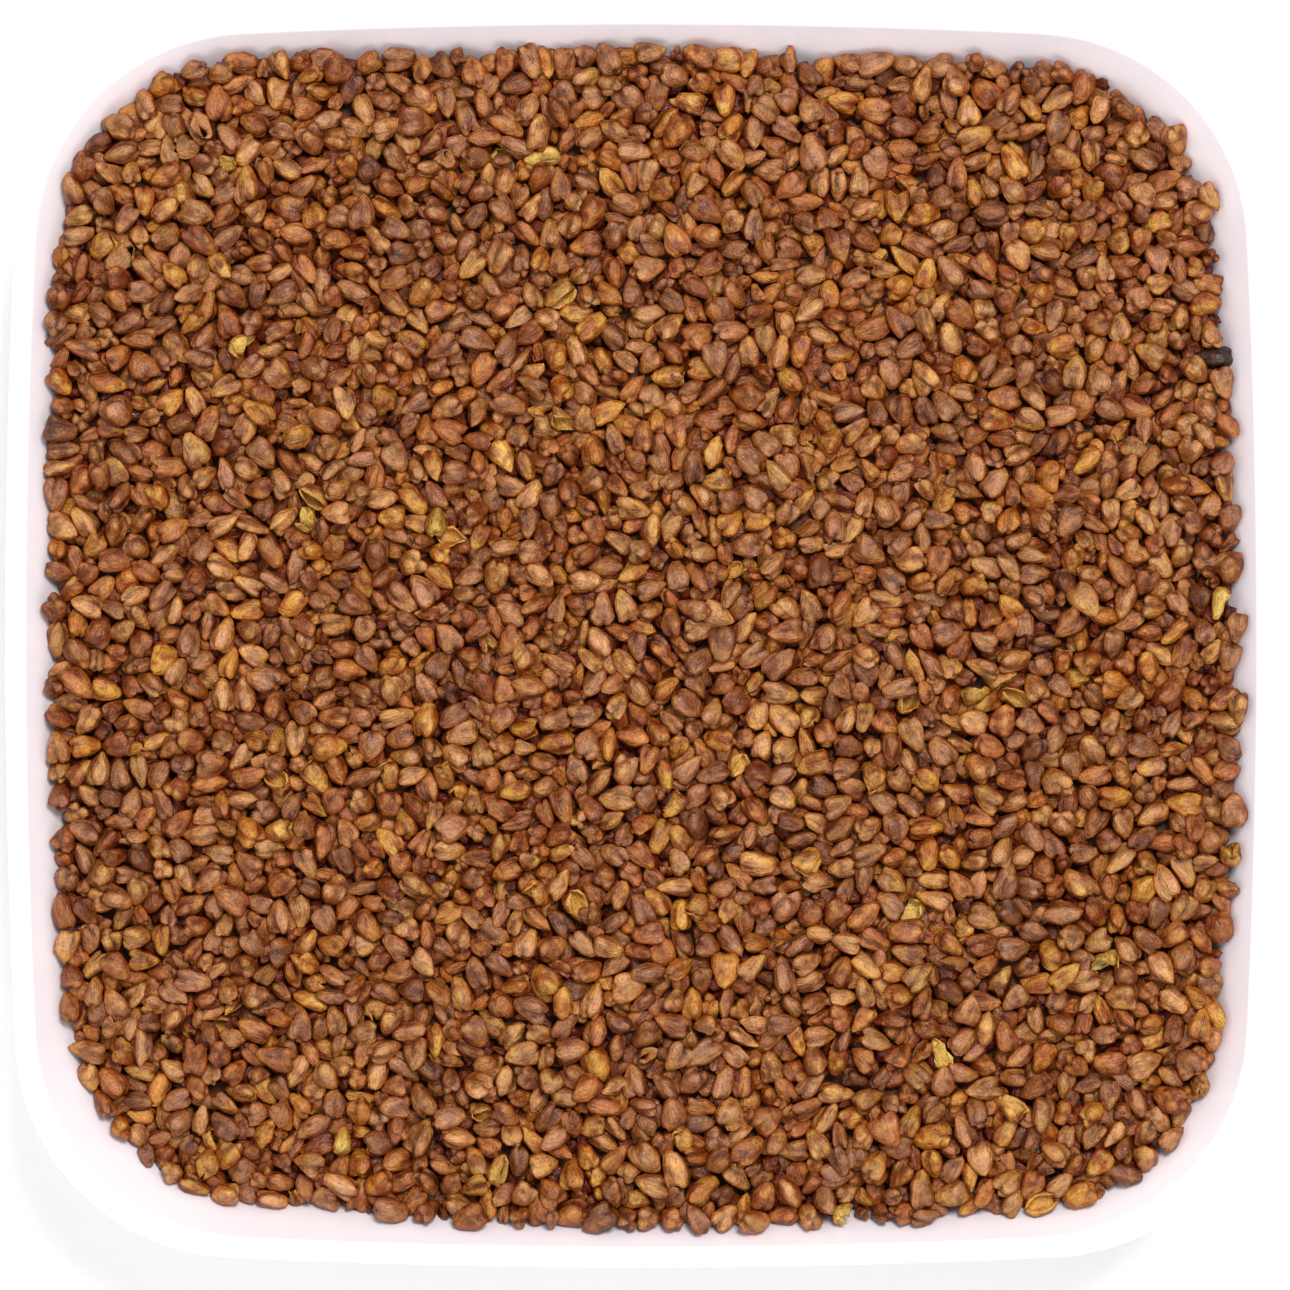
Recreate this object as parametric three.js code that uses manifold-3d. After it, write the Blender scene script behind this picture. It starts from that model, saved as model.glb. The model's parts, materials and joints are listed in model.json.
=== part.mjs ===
// A square white porcelain dish with rounded corners, filled nearly to the brim with roasted buckwheat.
// Millimetres, +Z up. The origin is under the middle of the foot ring, at the level that it stands on.
// +X is the right side and -Y the near side of the dish, as it lies in front of the eye.

import * as THREE from 'three';
import { mergeVertices } from 'three/addons/utils/BufferGeometryUtils.js';
import Module from 'manifold-3d';

// ---- driving dimensions ----

// dish, seen from above: four gently bowed sides joined by round corners
const DISH_WIDTH = 150; // left to right
const DISH_DEPTH = 149; // near to far
const DISH_HEIGHT = 38;
const CORNER_RADIUS = 26.2;
const CORNER_SHRINK = 0.38; // corner radius lost for each millimetre of half width lost lower down
const SIDE_BOW_RADIUS = 1000;

// dish, in section
const RIM_WIDTH = 2.7;
const RIM_ROUND = 1.1;
const WALL_LEAN = THREE.MathUtils.degToRad(26); // from the vertical
const WALL_THICKNESS_LOW = 3.4; // across the wall, where it turns into the floor
const FLOOR_TOP = 6.6;
const FLOOR_FILLET = 16;

// foot ring
const FOOT_OUTER_HALF = 48;
const FOOT_WIDTH = 3.6;
const FOOT_RECESS = 2.2; // how far the underside inside the foot ring is off the table
const FOOT_ROUND = 0.8;

// buckwheat: how far it lies below the brim along the wall, and how far it rises above it in the middle
const CROWN_RISE = 0.2;
const WALL_DROPS = [
  { name: 'right side', drop: 0.2 },
  { name: 'far right corner', drop: 3.8 },
  { name: 'far side', drop: 3.3 },
  { name: 'far left corner', drop: 0.6 },
  { name: 'left side', drop: 2.3 },
  { name: 'near left corner', drop: 5.8 },
  { name: 'near side', drop: 1.6 },
  { name: 'near right corner', drop: 2.6 },
];
const CROWN_POWER = 2.2; // how flat the middle is before the surface falls to the wall
const GRAIN_STEP = 3; // a kernel's width
const GRAIN_LUMP = 0.55; // how far a kernel stands above or below the mean surface

// clearance between the buckwheat and the porcelain
const GAP = 0.3;

// facets
const SIDE_STEPS = 3; // along half a side
const CORNER_STEPS = 8;
const ROUND_STEPS = 4;
const FILLET_STEPS = 6;

const HALF_WIDTH = DISH_WIDTH / 2;

// ---- outline and section ----

// The corner points of the dish's outline at a given half width, anticlockwise from the middle of the right side.
function outlineAt(halfWidth) {
  const bow = SIDE_BOW_RADIUS * halfWidth / HALF_WIDTH;
  const corner = CORNER_RADIUS - CORNER_SHRINK * (HALF_WIDTH - halfWidth);
  const bowCentre = bow - halfWidth;
  const cornerCentre = (Math.sqrt(2 * (bow - corner) ** 2 - bowCentre ** 2) - bowCentre) / 2;
  const joint = Math.atan2(cornerCentre, cornerCentre + bowCentre);
  const quarter = [];
  for (let i = 0; i < SIDE_STEPS; i += 1) {
    const turn = joint * i / SIDE_STEPS;
    quarter.push(new THREE.Vector2(bow * Math.cos(turn) - bowCentre, bow * Math.sin(turn)));
  }
  for (let i = 0; i <= CORNER_STEPS; i += 1) {
    const turn = joint + (Math.PI / 2 - 2 * joint) * i / CORNER_STEPS;
    quarter.push(new THREE.Vector2(corner * Math.cos(turn), corner * Math.sin(turn)).addScalar(cornerCentre));
  }
  for (let i = SIDE_STEPS - 1; i > 0; i -= 1) {
    quarter.push(new THREE.Vector2(quarter[i].y, quarter[i].x));
  }
  const outline = [];
  for (let side = 0; side < 4; side += 1) {
    const turn = side * Math.PI / 2;
    outline.push(...quarter.map((point) => point.clone().rotateAround(new THREE.Vector2(), turn)));
  }
  const squash = new THREE.Vector2(1, DISH_DEPTH / DISH_WIDTH);
  outline.forEach((point) => point.multiply(squash));
  return outline;
}

// The points of an arc in the section plane, where x is the half width and y is the height.
function sectionArc(centre, radius, from, to, steps) {
  const points = [];
  for (let i = 0; i <= steps; i += 1) {
    const turn = THREE.MathUtils.lerp(from, to, i / steps);
    points.push(new THREE.Vector2(Math.cos(turn), Math.sin(turn)).multiplyScalar(radius).add(centre));
  }
  return points;
}

// The inside of the dish in section, from the end of the flat floor up to the brim, drawn clearance inside it.
function innerSection(clearance) {
  const floor = FLOOR_TOP + clearance;
  const fillet = FLOOR_FILLET - clearance;
  const filletEnd = floor + fillet * (1 - Math.sin(WALL_LEAN));
  const brim = HALF_WIDTH - RIM_WIDTH - clearance / Math.cos(WALL_LEAN);
  const wallFoot = brim - (DISH_HEIGHT - filletEnd) * Math.tan(WALL_LEAN);
  const centre = new THREE.Vector2(wallFoot - fillet * Math.cos(WALL_LEAN), floor + fillet);
  const points = sectionArc(centre, fillet, -Math.PI / 2, -WALL_LEAN, FILLET_STEPS);
  points.push(new THREE.Vector2(brim, DISH_HEIGHT));
  return points;
}

// The whole section of the dish, from the axis under the floor, round the foot and the rim, to the axis above it.
function dishSection() {
  const inside = innerSection(0);
  const filletCentre = new THREE.Vector2(inside[0].x, FLOOR_TOP + FLOOR_FILLET);
  const heelRadius = FLOOR_FILLET + WALL_THICKNESS_LOW;
  const heelStart = -Math.acos((FOOT_OUTER_HALF - filletCentre.x) / heelRadius);
  const footInner = FOOT_OUTER_HALF - FOOT_WIDTH;
  const rimTop = DISH_HEIGHT - RIM_ROUND;
  const rimOuter = new THREE.Vector2(HALF_WIDTH - RIM_ROUND, rimTop);
  const rimInner = new THREE.Vector2(HALF_WIDTH - RIM_WIDTH + RIM_ROUND, rimTop);
  const quarterTurn = Math.PI / 2;
  return [
    new THREE.Vector2(0, FOOT_RECESS),
    new THREE.Vector2(footInner, FOOT_RECESS),
    ...sectionArc(new THREE.Vector2(footInner + FOOT_ROUND, FOOT_ROUND), FOOT_ROUND, -Math.PI, -quarterTurn, 2),
    ...sectionArc(new THREE.Vector2(FOOT_OUTER_HALF - FOOT_ROUND, FOOT_ROUND), FOOT_ROUND, -quarterTurn, 0, 2),
    ...sectionArc(filletCentre, heelRadius, heelStart, -WALL_LEAN, FILLET_STEPS),
    ...sectionArc(rimOuter, RIM_ROUND, -WALL_LEAN, quarterTurn, ROUND_STEPS),
    ...sectionArc(rimInner, RIM_ROUND, quarterTurn, Math.PI - WALL_LEAN, ROUND_STEPS),
    ...inside.slice(0, -1).reverse(),
    new THREE.Vector2(0, FLOOR_TOP),
  ];
}

// ---- building a solid ----

// A closed skin of rings, one for each section point, with a single point where the section meets the axis.
function loft(section) {
  const positions = [];
  const rings = section.map((point) => {
    const start = positions.length / 3;
    const corners = point.x > 0 ? outlineAt(point.x) : [new THREE.Vector2()];
    corners.forEach((corner) => positions.push(corner.x, corner.y, point.y));
    return { start, count: corners.length };
  });
  const indices = [];
  for (let row = 0; row + 1 < rings.length; row += 1) {
    const low = rings[row];
    const high = rings[row + 1];
    const around = Math.max(low.count, high.count);
    for (let i = 0; i < around; i += 1) {
      const next = (i + 1) % around;
      if (low.count > 1) indices.push(low.start + i, low.start + next, high.start + (next % high.count));
      if (high.count > 1) indices.push(low.start + (i % low.count), high.start + next, high.start + i);
    }
  }
  const geometry = new THREE.BufferGeometry();
  geometry.setAttribute('position', new THREE.Float32BufferAttribute(positions, 3));
  geometry.setIndex(indices);
  return geometry;
}

const manifold = await Module();
manifold.setup();

// A closed geometry as a solid that can be cut.
function toSolid(geometry) {
  const merged = mergeVertices(geometry);
  return new manifold.Manifold(new manifold.Mesh({
    numProp: 3,
    vertProperties: new Float32Array(merged.getAttribute('position').array),
    triVerts: new Uint32Array(merged.getIndex().array),
  }));
}

// A cut solid as a geometry again.
function toGeometry(solid) {
  const mesh = solid.getMesh();
  const geometry = new THREE.BufferGeometry();
  geometry.setAttribute('position', new THREE.Float32BufferAttribute(mesh.vertProperties, mesh.numProp));
  geometry.setIndex(Array.from(mesh.triVerts));
  return geometry;
}

// ---- buckwheat ----

// How far the buckwheat lies below the brim where it meets the wall in one direction.
function wallDrop(angle) {
  const place = THREE.MathUtils.euclideanModulo(angle / (2 * Math.PI), 1) * WALL_DROPS.length;
  const before = Math.floor(place) % WALL_DROPS.length;
  const after = (before + 1) % WALL_DROPS.length;
  const share = THREE.MathUtils.smoothstep(place - Math.floor(place), 0, 1);
  return THREE.MathUtils.lerp(WALL_DROPS[before].drop, WALL_DROPS[after].drop, share);
}

// The distance from the middle to the brim's inner edge in one direction, with the corner as a fourth-power curve.
function brimReach(angle) {
  const brim = HALF_WIDTH - RIM_WIDTH;
  const power = 5;
  return brim / (Math.abs(Math.cos(angle)) ** power + Math.abs(Math.sin(angle)) ** power) ** (1 / power);
}

// The mean surface: nearly level in the middle, and falling to the wall.
function surfaceHeight(x, y) {
  const angle = Math.atan2(y, x);
  const reach = Math.min(Math.hypot(x, y) / brimReach(angle), 1);
  const fall = (CROWN_RISE + wallDrop(angle)) * reach ** CROWN_POWER;
  return DISH_HEIGHT + CROWN_RISE - fall;
}

// A kernel's own height above or below the mean surface, the same each time for the same place.
function grainLump(column, row) {
  const wave = Math.sin(column * 12.9898 + row * 78.233) * 43758.5453;
  return (2 * (wave - Math.floor(wave)) - 1) * GRAIN_LUMP;
}

// A block as wide as the dish, with the uneven top of the heap.
function heapBlock() {
  const cells = Math.ceil(DISH_WIDTH / GRAIN_STEP);
  const middle = cells / 2;
  const positions = [];
  for (let row = 0; row <= cells; row += 1) {
    for (let column = 0; column <= cells; column += 1) {
      const shift = row % 2 === 0 ? 0.25 : -0.25; // kernels lie in staggered rows
      const x = (column - middle + shift) * GRAIN_STEP;
      const y = (row - middle) * GRAIN_STEP;
      positions.push(x, y, surfaceHeight(x, y) + grainLump(column, row));
    }
  }
  const wide = cells + 1;
  const rim = [];
  for (let i = 0; i < cells; i += 1) rim.push(i);
  for (let i = 0; i < cells; i += 1) rim.push(i * wide + cells);
  for (let i = 0; i < cells; i += 1) rim.push(cells * wide + cells - i);
  for (let i = 0; i < cells; i += 1) rim.push((cells - i) * wide);
  const indices = [];
  for (let row = 0; row < cells; row += 1) {
    for (let column = 0; column < cells; column += 1) {
      const corner = row * wide + column;
      indices.push(corner, corner + 1, corner + wide + 1, corner, corner + wide + 1, corner + wide);
    }
  }
  const low = positions.length / 3;
  rim.forEach((corner) => positions.push(positions[3 * corner], positions[3 * corner + 1], 0));
  const centre = positions.length / 3;
  positions.push(0, 0, 0);
  rim.forEach((corner, i) => {
    const next = (i + 1) % rim.length;
    indices.push(corner, low + i, low + next, corner, low + next, rim[next], centre, low + next, low + i);
  });
  const geometry = new THREE.BufferGeometry();
  geometry.setAttribute('position', new THREE.Float32BufferAttribute(positions, 3));
  geometry.setIndex(indices);
  return geometry;
}

// The room inside the dish, a gap clear of the porcelain and open well above the brim.
function roomInside() {
  const inside = innerSection(GAP);
  const brim = inside[inside.length - 1];
  const ceiling = DISH_HEIGHT * 2;
  return loft([
    new THREE.Vector2(0, FLOOR_TOP + GAP),
    ...inside,
    new THREE.Vector2(brim.x, ceiling),
    new THREE.Vector2(0, ceiling),
  ]);
}

// ---- the finished pieces ----

function piece(name, geometry, look) {
  const material = new THREE.MeshStandardMaterial(look);
  const mesh = new THREE.Mesh(geometry, material);
  mesh.name = name;
  return mesh;
}

function makeDish() {
  return piece('dish', loft(dishSection()), { color: 0xf4f0f1, roughness: 0.15, metalness: 0 });
}

function makeBuckwheat() {
  const heap = toSolid(roomInside()).intersect(toSolid(heapBlock()));
  return piece('buckwheat', toGeometry(heap), { color: 0x8f5a35, roughness: 0.6, metalness: 0 });
}

const dishOfBuckwheat = new THREE.Group();
dishOfBuckwheat.add(makeDish(), makeBuckwheat());

export default dishOfBuckwheat;
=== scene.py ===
# A square white porcelain dish filled nearly to the brim with roasted buckwheat, seen from above.
# Metres, +Z up. +X is the right side and -Y the near side of the dish.

import itertools
import json
import math

import bmesh
import bpy
import numpy as np
from mathutils.bvhtree import BVHTree
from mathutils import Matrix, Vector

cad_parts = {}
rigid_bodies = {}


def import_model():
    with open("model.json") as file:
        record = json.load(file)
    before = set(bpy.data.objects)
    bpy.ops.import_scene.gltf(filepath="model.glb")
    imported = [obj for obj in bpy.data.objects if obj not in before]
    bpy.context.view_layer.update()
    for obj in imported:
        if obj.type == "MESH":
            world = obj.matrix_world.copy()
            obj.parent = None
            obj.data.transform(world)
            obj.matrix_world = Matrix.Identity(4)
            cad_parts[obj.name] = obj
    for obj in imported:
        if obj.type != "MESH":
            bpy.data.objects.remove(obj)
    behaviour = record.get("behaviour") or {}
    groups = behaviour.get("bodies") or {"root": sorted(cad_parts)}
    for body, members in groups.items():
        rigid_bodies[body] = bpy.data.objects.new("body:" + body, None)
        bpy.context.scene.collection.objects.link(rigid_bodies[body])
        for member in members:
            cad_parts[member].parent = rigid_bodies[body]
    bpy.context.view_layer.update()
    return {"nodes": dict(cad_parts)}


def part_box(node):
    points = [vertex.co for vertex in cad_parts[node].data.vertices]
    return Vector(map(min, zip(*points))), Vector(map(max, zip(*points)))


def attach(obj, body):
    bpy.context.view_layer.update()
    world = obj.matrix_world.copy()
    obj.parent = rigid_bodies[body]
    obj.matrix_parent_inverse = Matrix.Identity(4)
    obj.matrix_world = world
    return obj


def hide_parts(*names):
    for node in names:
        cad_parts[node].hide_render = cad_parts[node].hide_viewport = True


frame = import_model()


# ---- porcelain dish ----
# The real dish is white porcelain, pressed into a mould, glazed and fired standing on its foot ring,
# which is wiped bare of glaze. The section goes round an outline of four gently bowed sides joined by
# round corners, and the tree below does the same.

MM = 0.001
dish_low, dish_high = (np.array(corner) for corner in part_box("dish"))
DISH_WIDTH, DISH_DEPTH, DISH_HEIGHT = dish_high - dish_low
HALF_WIDTH = DISH_WIDTH / 2
CORNER_RADIUS = 26.2 * MM
CORNER_SHRINK = 0.38  # corner radius lost for each millimetre of half width lost lower down
SIDE_BOW = 1000 * MM
RIM_WIDTH = 2.7 * MM
RIM_ROUND = 1.1 * MM
WALL_LEAN = math.radians(26)  # from the vertical
WALL_THICKNESS_LOW = 3.4 * MM
FLOOR_TOP = 6.6 * MM
FLOOR_FILLET = 16 * MM
FOOT_OUTER_HALF = 48 * MM
FOOT_WIDTH = 3.6 * MM
FOOT_RECESS = 2.2 * MM
FOOT_ROUND = 0.8 * MM
FOOT_BLEND, BLEND_END = 0.6 * MM, math.radians(117)  # the hollow between the foot ring and the heel
HEEL_CUT = 0.06  # radians of the heel that the blend takes up
FLAT_STEPS, FOOT_STEPS, BLEND_STEPS, WALL_STEPS, RIM_STEPS = 8, 6, 4, 18, 12  # along the section
DISH_FACETS = 224  # round the outline
AXIS = 1e-6  # a half width under this lies on the axis
WELD = 2e-6  # points closer than this are one
FILLET_END = FLOOR_TOP + FLOOR_FILLET * (1 - math.sin(WALL_LEAN))
WALL_FOOT = HALF_WIDTH - RIM_WIDTH - (DISH_HEIGHT - FILLET_END) * math.tan(WALL_LEAN)
FILLET_CENTRE = (WALL_FOOT - FLOOR_FILLET * math.cos(WALL_LEAN), FLOOR_TOP + FLOOR_FILLET)
QUARTER = math.pi / 2

BARE_FOOT = 0.25 * MM  # the height up to which the foot ring has no glaze
BARE_CLAY, BARE_ROUGHNESS = (0.72, 0.68, 0.62, 1), 0.75
GLAZE, PALE_GLAZE = (0.90, 0.835, 0.87, 1), (0.91, 0.86, 0.89, 1)
GLAZE_CLOUDS, GLAZE_RIPPLES = 28.0, 160.0  # to the metre


def arc(centre, radius, start, end, steps):
    """Points of an arc in the section plane, as half widths and heights."""
    turns = np.linspace(start, end, steps + 1)
    return np.stack([centre[0] + radius * np.cos(turns), centre[1] + radius * np.sin(turns)], 1)


def flat(start, end, steps, height):
    """Points of a level stretch in the section plane."""
    return np.stack([np.linspace(start, end, steps + 1), np.full(steps + 1, height)], 1)


def dish_section():
    """The section from the axis under the floor, round the foot and the rim, to the axis above the floor."""
    heel = FLOOR_FILLET + WALL_THICKNESS_LOW
    heel_start = HEEL_CUT - math.acos((FOOT_OUTER_HALF - FILLET_CENTRE[0]) / heel)
    foot_inner = FOOT_OUTER_HALF - FOOT_WIDTH
    rim_top = DISH_HEIGHT - RIM_ROUND
    rim_inner = HALF_WIDTH - RIM_WIDTH + RIM_ROUND
    return np.concatenate([
        flat(0, foot_inner, FLAT_STEPS, FOOT_RECESS),
        arc((foot_inner + FOOT_ROUND, FOOT_ROUND), FOOT_ROUND, -math.pi, -QUARTER, FOOT_STEPS),
        arc((FOOT_OUTER_HALF - FOOT_ROUND, FOOT_ROUND), FOOT_ROUND, -QUARTER, 0, FOOT_STEPS),
        arc((FOOT_OUTER_HALF + FOOT_BLEND, FOOT_RECESS), FOOT_BLEND, math.pi, BLEND_END, BLEND_STEPS),
        arc(FILLET_CENTRE, heel, heel_start, -WALL_LEAN, WALL_STEPS),
        arc((HALF_WIDTH - RIM_ROUND, rim_top), RIM_ROUND, -WALL_LEAN, QUARTER, RIM_STEPS),
        arc((rim_inner, rim_top), RIM_ROUND, QUARTER, math.pi - WALL_LEAN, RIM_STEPS),
        arc(FILLET_CENTRE, FLOOR_FILLET, -WALL_LEAN, -QUARTER, WALL_STEPS),
        flat(FILLET_CENTRE[0], 0, FLAT_STEPS, FLOOR_TOP)[1:],
    ])


def new_sockets(tree, way, **kinds):
    """Gives a tree named inputs or outputs, sorted by kind."""
    for kind, labels in kinds.items():
        for label in labels:
            tree.interface.new_socket(name=label, in_out=way, socket_type="NodeSocket" + kind)


def new_tree(name, **inputs):
    """A geometry node tree that takes and gives a geometry, with further named inputs."""
    tree = bpy.data.node_groups.new(name, "GeometryNodeTree")
    new_sockets(tree, "INPUT", Geometry=["Geometry"], Material=["Material"], **inputs)
    new_sockets(tree, "OUTPUT", Geometry=["Geometry"])
    return tree, tree.nodes.new("NodeGroupInput").outputs, tree.nodes.new("NodeGroupOutput").inputs


def feed(tree, node, inputs):
    """Joins sockets to a node's inputs, or sets values on them."""
    for key, value in dict(inputs).items():
        if isinstance(value, bpy.types.NodeSocket):
            tree.links.new(value, node.inputs[key])
        else:
            node.inputs[key].default_value = value


def place(tree, kind, inputs=(), **settings):
    """Adds a node, sets it and feeds its inputs. Gives the node."""
    node = tree.nodes.new(kind)
    for name, value in settings.items():
        setattr(node, name, value)
    feed(tree, node, inputs)
    return node


def calc(tree, operation, *values):
    """The result of a Math node on sockets or numbers."""
    return place(tree, "ShaderNodeMath", enumerate(values), operation=operation).outputs[0]


def sums(tree):
    """Functions that add, take away, multiply and divide sockets or numbers in this tree."""
    return [lambda one, other, operation=operation: calc(tree, operation, one, other)
            for operation in ("ADD", "SUBTRACT", "MULTIPLY", "DIVIDE")]


def finish_tree(tree, geometry, material, out):
    """Shades the geometry smooth, makes it real and gives it its material."""
    smooth = place(tree, "GeometryNodeSetShadeSmooth", {"Geometry": geometry})
    real = place(tree, "GeometryNodeRealizeInstances", {"Geometry": smooth.outputs[0]})
    done = place(tree, "GeometryNodeSetMaterial", {"Geometry": real.outputs[0], "Material": material})
    tree.links.new(done.outputs[0], out["Geometry"])


def run_tree(thing, tree, values):
    """Runs a tree on an object with its named inputs set, and leaves the result as a plain mesh."""
    modifier = thing.modifiers.new(tree.name, "NODES")
    modifier.node_group = tree
    for item in tree.interface.items_tree:
        if item.in_out == "INPUT" and item.name in values:
            modifier[item.identifier] = values[item.name]
    view = bpy.context.evaluated_depsgraph_get()
    result = bpy.data.meshes.new_from_object(
        thing.evaluated_get(view), preserve_all_data_layers=True, depsgraph=view)
    start = thing.data
    thing.modifiers.clear()
    thing.data = result
    result.name = thing.name
    bpy.data.meshes.remove(start)


def new_object(name, points, faces=()):
    mesh = bpy.data.meshes.new(name)
    mesh.from_pydata([tuple(point) for point in points], [], [tuple(face) for face in faces])
    thing = bpy.data.objects.new(name, mesh)
    bpy.context.scene.collection.objects.link(thing)
    return thing


def outline_tree():
    """Sends the section, a row of points in X and Z, round the dish's outline."""
    tree, given, out = new_tree(
        "section round a bowed square", Int=["Facets", "Rows"],
        Float=["Half width", "Squash", "Corner radius", "Corner shrink", "Side bow"])
    plus, minus, times, over = sums(tree)

    def direction(turn):
        return calc(tree, "COSINE", turn), calc(tree, "SINE", turn)

    around = plus(given["Facets"], 1)
    sheet = place(tree, "GeometryNodeMeshGrid", {"Vertices X": around, "Vertices Y": given["Rows"]})
    index = place(tree, "GeometryNodeInputIndex").outputs[0]
    column = calc(tree, "FLOOR", over(plus(index, 0.5), given["Rows"]))
    row = minus(index, times(column, given["Rows"]))
    spot = place(tree, "GeometryNodeInputPosition").outputs[0]
    sampled = place(tree, "GeometryNodeSampleIndex", {
        "Geometry": given["Geometry"], "Value": spot, "Index": row}, data_type="FLOAT_VECTOR")
    section = place(tree, "ShaderNodeSeparateXYZ", {0: sampled.outputs[0]}).outputs
    half = section["X"]

    angle = times(over(column, given["Facets"]), 2 * math.pi)
    turned = calc(tree, "MODULO", plus(angle, QUARTER / 2), QUARTER)
    eighth = calc(tree, "ABSOLUTE", minus(turned, QUARTER / 2))
    bow = times(given["Side bow"], over(half, given["Half width"]))
    corner = minus(given["Corner radius"], times(minus(given["Half width"], half), given["Corner shrink"]))
    bow_centre = minus(bow, half)
    reach = minus(bow, corner)
    root = calc(tree, "SQRT", minus(times(times(reach, reach), 2), times(bow_centre, bow_centre)))
    corner_centre = over(minus(root, bow_centre), 2)
    joint = calc(tree, "ARCTAN2", corner_centre, plus(corner_centre, bow_centre))
    cosine, sine = direction(joint)
    joint_angle = calc(tree, "ARCTAN2", times(bow, sine), minus(times(bow, cosine), bow_centre))

    cosine, sine = direction(eighth)
    across = times(bow_centre, sine)
    side = minus(calc(tree, "SQRT", minus(times(bow, bow), times(across, across))), times(bow_centre, cosine))
    towards = times(corner_centre, plus(cosine, sine))
    left = minus(times(towards, towards),
                 minus(times(times(corner_centre, corner_centre), 2), times(corner, corner)))
    round_corner = plus(towards, calc(tree, "SQRT", calc(tree, "MAXIMUM", left, 0.0)))
    on_side = calc(tree, "LESS_THAN", eighth, joint_angle)
    radius = plus(times(on_side, side), times(minus(1.0, on_side), round_corner))
    radius = times(radius, calc(tree, "GREATER_THAN", half, AXIS))
    cosine, sine = direction(angle)
    spot = place(tree, "ShaderNodeCombineXYZ", {
        "X": times(radius, cosine), "Y": times(times(radius, sine), given["Squash"]), "Z": section["Z"]})
    shaped = place(tree, "GeometryNodeSetPosition", {
        "Geometry": sheet.outputs["Mesh"], "Position": spot.outputs[0]})
    closed = place(tree, "GeometryNodeMergeByDistance", {"Geometry": shaped.outputs[0], "Distance": WELD})
    finish_tree(tree, closed.outputs[0], given["Material"], out)
    return tree


def new_material(name):
    """A material with nothing but its Principled shader and its output."""
    material = bpy.data.materials.new(name)
    material.use_nodes = True
    return material, material.node_tree, material.node_tree.nodes["Principled BSDF"]


def noise(tree, spot, scale, detail, output="Fac"):
    cloud = place(tree, "ShaderNodeTexNoise", {"Vector": spot, "Scale": scale, "Detail": detail})
    return cloud.outputs[output]


def blend(tree, share, low, high):
    return place(tree, "ShaderNodeMix", {0: share, 6: low, 7: high}, data_type="RGBA").outputs[2]


def spread(tree, value, low, high, first=0.0, last=1.0):
    """Takes a value from between low and high to between first and last, and no further."""
    return place(tree, "ShaderNodeMapRange", {
        "Value": value, "From Min": low, "From Max": high, "To Min": first, "To Max": last}).outputs[0]


def relief(tree, height, strength, depth):
    bump = place(tree, "ShaderNodeBump", {"Height": height, "Strength": strength, "Distance": depth})
    return bump.outputs[0]


def porcelain():
    material, tree, shader = new_material("white glazed porcelain")
    spot = place(tree, "ShaderNodeTexCoord").outputs["Object"]
    cloud = noise(tree, spot, GLAZE_CLOUDS, 3.0)
    height = place(tree, "ShaderNodeSeparateXYZ", {0: spot}).outputs["Z"]
    bare = calc(tree, "LESS_THAN", height, BARE_FOOT)
    gloss = spread(tree, cloud, 0.0, 1.0, 0.10, 0.16)
    feed(tree, shader, {
        "Base Color": blend(tree, bare, blend(tree, cloud, GLAZE, PALE_GLAZE), BARE_CLAY),
        "Roughness": calc(tree, "MAXIMUM", gloss, calc(tree, "MULTIPLY", bare, BARE_ROUGHNESS)),
        "Normal": relief(tree, noise(tree, spot, GLAZE_RIPPLES, 1.0), 0.05, 0.4 * MM)})
    return material


outline = outline_tree()


def mould(name, section, facets, material):
    """One piece: this section sent round the dish's outline."""
    piece = new_object(name, np.insert(section, 1, 0, axis=1))
    run_tree(piece, outline, {
        "Half width": HALF_WIDTH, "Squash": DISH_DEPTH / DISH_WIDTH, "Corner radius": CORNER_RADIUS,
        "Corner shrink": CORNER_SHRINK, "Side bow": SIDE_BOW, "Facets": facets, "Rows": len(section),
        "Material": material})
    return piece


dish = mould("porcelain_dish", dish_section(), DISH_FACETS, porcelain())
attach(dish, "root")
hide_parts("dish")


# ---- kernels packed underneath ----
# Under the loose kernels that show, the dish is filled with the same buckwheat, shaken down into a dense
# bed. One solid with a relief of kernel backs stands for that bed, well under the surface, painted a very
# dark brown as painted shade for the kernels down there.

BED_DEPTH = 5.3 * MM  # from the level of the heap down to the bed
BED_CLEARANCE = 0.5 * MM
BED_EDGE = 26 * MM  # the height of its edge before it takes the level of the heap
BED_RINGS, BED_FACETS = 48, 150
BED_FLOOR_STEPS, BED_FILLET_STEPS = 4, 8
BACK_SPACING, BACK_RISE = 3.2 * MM, 1.6 * MM
LOOKS_UP = 0.7  # the upward share of the normal of a face that gets kernel backs
LEVEL_STEP = 2.5 * MM
WIDEN_ROUNDS, SMOOTH_ROUNDS = 12, 3
# The bed's very dark browns are painted shade: the buckwheat down there is the same as on top.
BED_PAINTED_SHADE_BROWN, BED_PALE_PAINTED_SHADE_BROWN = (0.07, 0.016, 0.003, 1), (0.16, 0.042, 0.008, 1)
BED_PATCHES = 330.0  # to the metre


def near_readings(height, **edges):
    """The nine readings at and round each place of a height map."""
    padded = np.pad(height, 1, **edges)
    count = len(height)
    return np.array([padded[i:i + count, j:j + count] for i, j in itertools.product(range(3), repeat=2)])


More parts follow.
